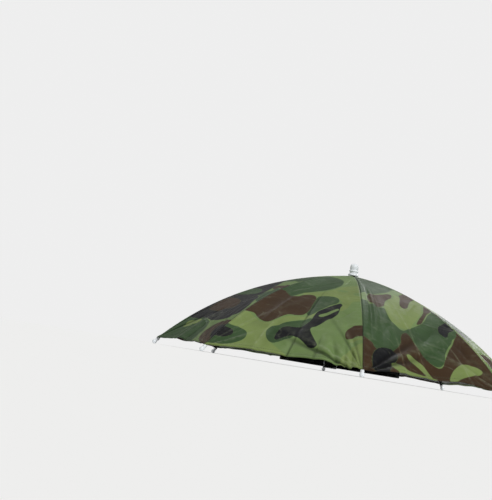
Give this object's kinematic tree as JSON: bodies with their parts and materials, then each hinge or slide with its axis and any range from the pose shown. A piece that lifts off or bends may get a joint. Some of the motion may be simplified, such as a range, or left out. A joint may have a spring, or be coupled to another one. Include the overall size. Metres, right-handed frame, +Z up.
{
  "type": "umbrella hat",
  "caption": "Open umbrella hat: a camouflage cloth canopy on a steel rib frame with ball tips, carried over the head on an elastic headband with a slider.",
  "frame": {"origin": "on the surface that the eight tip feet stand on, under the middle of the canopy", "axes": "+Z up along the shaft, the wearer faces -Y, the wearer's left is +X"},
  "size_m": [0.5616, 0.5616, 0.1786],
  "materials": {
    "camouflage_cloth": "woven polyester printed with woodland camouflage, silver-coated inside",
    "white_plastic": "moulded translucent white polypropylene",
    "black_steel": "black enamelled steel",
    "black_plastic": "moulded black nylon",
    "black_elastic": "woven black elastic"
  },
  "bodies": {
    "root": {"band_clip_1": "white_plastic", "band_clip_2": "white_plastic", "band_clip_3": "white_plastic", "band_clip_4": "white_plastic", "band_clip_5": "white_plastic", "band_clip_6": "white_plastic", "band_clip_7": "white_plastic", "band_clip_8": "white_plastic", "band_stay_1": "black_steel", "band_stay_2": "black_steel", "band_stay_3": "black_steel", "band_stay_4": "black_steel", "band_stay_5": "black_steel", "band_stay_6": "black_steel", "band_stay_7": "black_steel", "band_stay_8": "black_steel", "canopy": "camouflage_cloth", "finial": "white_plastic", "headband": "black_elastic", "hub": "black_plastic", "rib_1": "black_steel", "rib_2": "black_steel", "rib_3": "black_steel", "rib_4": "black_steel", "rib_5": "black_steel", "rib_6": "black_steel", "rib_7": "black_steel", "rib_8": "black_steel", "rib_tip_1": "white_plastic", "rib_tip_2": "white_plastic", "rib_tip_3": "white_plastic", "rib_tip_4": "white_plastic", "rib_tip_5": "white_plastic", "rib_tip_6": "white_plastic", "rib_tip_7": "white_plastic", "rib_tip_8": "white_plastic", "runner": "black_plastic", "shaft": "black_steel", "slider": "white_plastic", "stretcher_1": "black_steel", "stretcher_2": "black_steel", "stretcher_3": "black_steel", "stretcher_4": "black_steel", "stretcher_5": "black_steel", "stretcher_6": "black_steel", "stretcher_7": "black_steel", "stretcher_8": "black_steel"}
  },
  "joints": []
}
